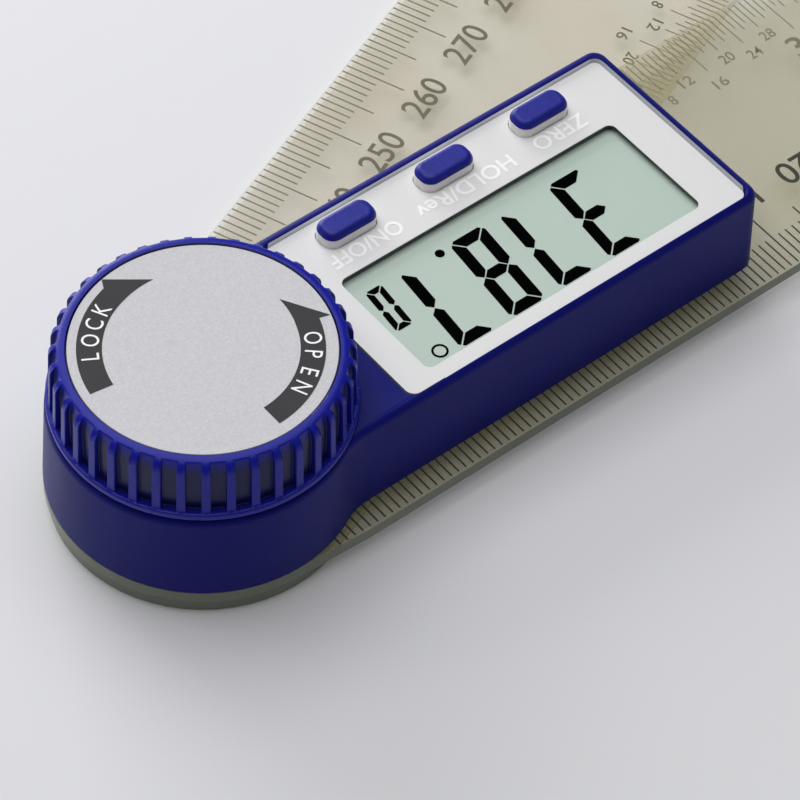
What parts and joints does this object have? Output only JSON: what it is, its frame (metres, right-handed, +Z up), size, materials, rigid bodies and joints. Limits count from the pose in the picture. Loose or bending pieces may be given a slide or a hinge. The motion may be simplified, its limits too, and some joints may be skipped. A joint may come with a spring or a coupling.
{
  "type": "digital angle finder",
  "caption": "Digital angle finder: two clear ruler arms on one pivot, a case with a display and push buttons on the fixed arm, and a fluted knob that locks the angle.",
  "frame": {"origin": "on the pivot axis, at the underside of the lower (moving) arm, where the tool rests", "axes": "+X along the fixed arm and its case, +Y towards the side of the push buttons, +Z up through the display and the knob; the moving arm stands 21.8 degrees from +X towards +Y"},
  "size_m": [0.222, 0.1085, 0.0228],
  "materials": {
    "clear_arm": "clear, slightly frosted on the edges",
    "film": "thin smooth film",
    "blue_case": "satin moulded blue",
    "base": "moulded, fine grain",
    "plate": "silver grey, satin",
    "pane": "clear, polished",
    "lcd_glass": "grey-green display",
    "black_plastic": "moulded black",
    "strip_rubber": "soft, matt",
    "board": "green solder resist",
    "screw_steel": "plated",
    "spring_steel": "bright sheet",
    "cell_steel": "bright can",
    "bush": "natural acetal",
    "insert_brass": "turned",
    "knob_blue": "satin moulded blue",
    "disc": "silver grey, finely grained",
    "button_blue": "satin moulded blue",
    "button_grey": "pale grey rubbery plastic"
  },
  "bodies": {
    "case": {"fixed_arm": "clear_arm", "friction_washer": "film", "upper_case": "blue_case", "base_cover": "base", "case_screws": "screw_steel", "face_plate": "plate", "display_window": "pane", "lcd_panel": "lcd_glass", "lcd_holder": "black_plastic", "lcd_connectors": "strip_rubber", "circuit_board": "board", "board_screws": "screw_steel", "processor": "black_plastic", "battery_contact_minus": "spring_steel", "battery_contact_plus": "spring_steel", "coin_cell": "cell_steel", "pivot_bush": "bush", "clamp_washer": "spring_steel", "spring_washer": "spring_steel", "on_off_dome": "spring_steel", "hold_dome": "spring_steel", "zero_dome": "spring_steel"},
    "moving_arm": {"moving_arm": "clear_arm", "turning_core": "black_plastic", "core_screws": "screw_steel", "clamp_stud": "screw_steel", "sensor_rotor": "board", "rotor_clip": "spring_steel"},
    "battery_cover": {"battery_cover": "base"},
    "on_off_button": {"on_off_button": "button_blue", "on_off_button_body": "button_grey"},
    "hold_button": {"hold_button": "button_blue", "hold_button_body": "button_grey"},
    "zero_button": {"zero_button": "button_blue", "zero_button_body": "button_grey"},
    "lock_knob": {"lock_knob": "knob_blue", "knob_insert": "insert_brass", "knob_disc": "disc"}
  },
  "joints": [
    {"name": "arm_turn", "type": "hinge", "parent": "case", "child": "moving_arm", "pos_m": [0, 0, 0.0008], "axis": [0, 0, 1], "continuous": true},
    {"name": "lock_turn", "type": "hinge", "parent": "case", "child": "lock_knob", "pos_m": [0, 0, 0.019], "axis": [0, 0, 1], "range_deg": [0, 180]},
    {"name": "on_off_press", "type": "slide", "parent": "case", "child": "on_off_button", "axis": [0, 0, -1], "range_m": [0, 0.0003], "stiffness_N_per_m": 4000, "springref_m": -0.0001, "deforming": ["on_off_dome"]},
    {"name": "hold_press", "type": "slide", "parent": "case", "child": "hold_button", "axis": [0, 0, -1], "range_m": [0, 0.0003], "stiffness_N_per_m": 4000, "springref_m": -0.0001, "deforming": ["hold_dome"]},
    {"name": "zero_press", "type": "slide", "parent": "case", "child": "zero_button", "axis": [0, 0, -1], "range_m": [0, 0.0003], "stiffness_N_per_m": 4000, "springref_m": -0.0001, "deforming": ["zero_dome"]},
    {"name": "battery_cover_turn", "type": "hinge", "parent": "case", "child": "battery_cover", "pos_m": [0.043, 0, 0.0018], "axis": [0, 0, 1], "range_deg": [0, 45]}
  ]
}
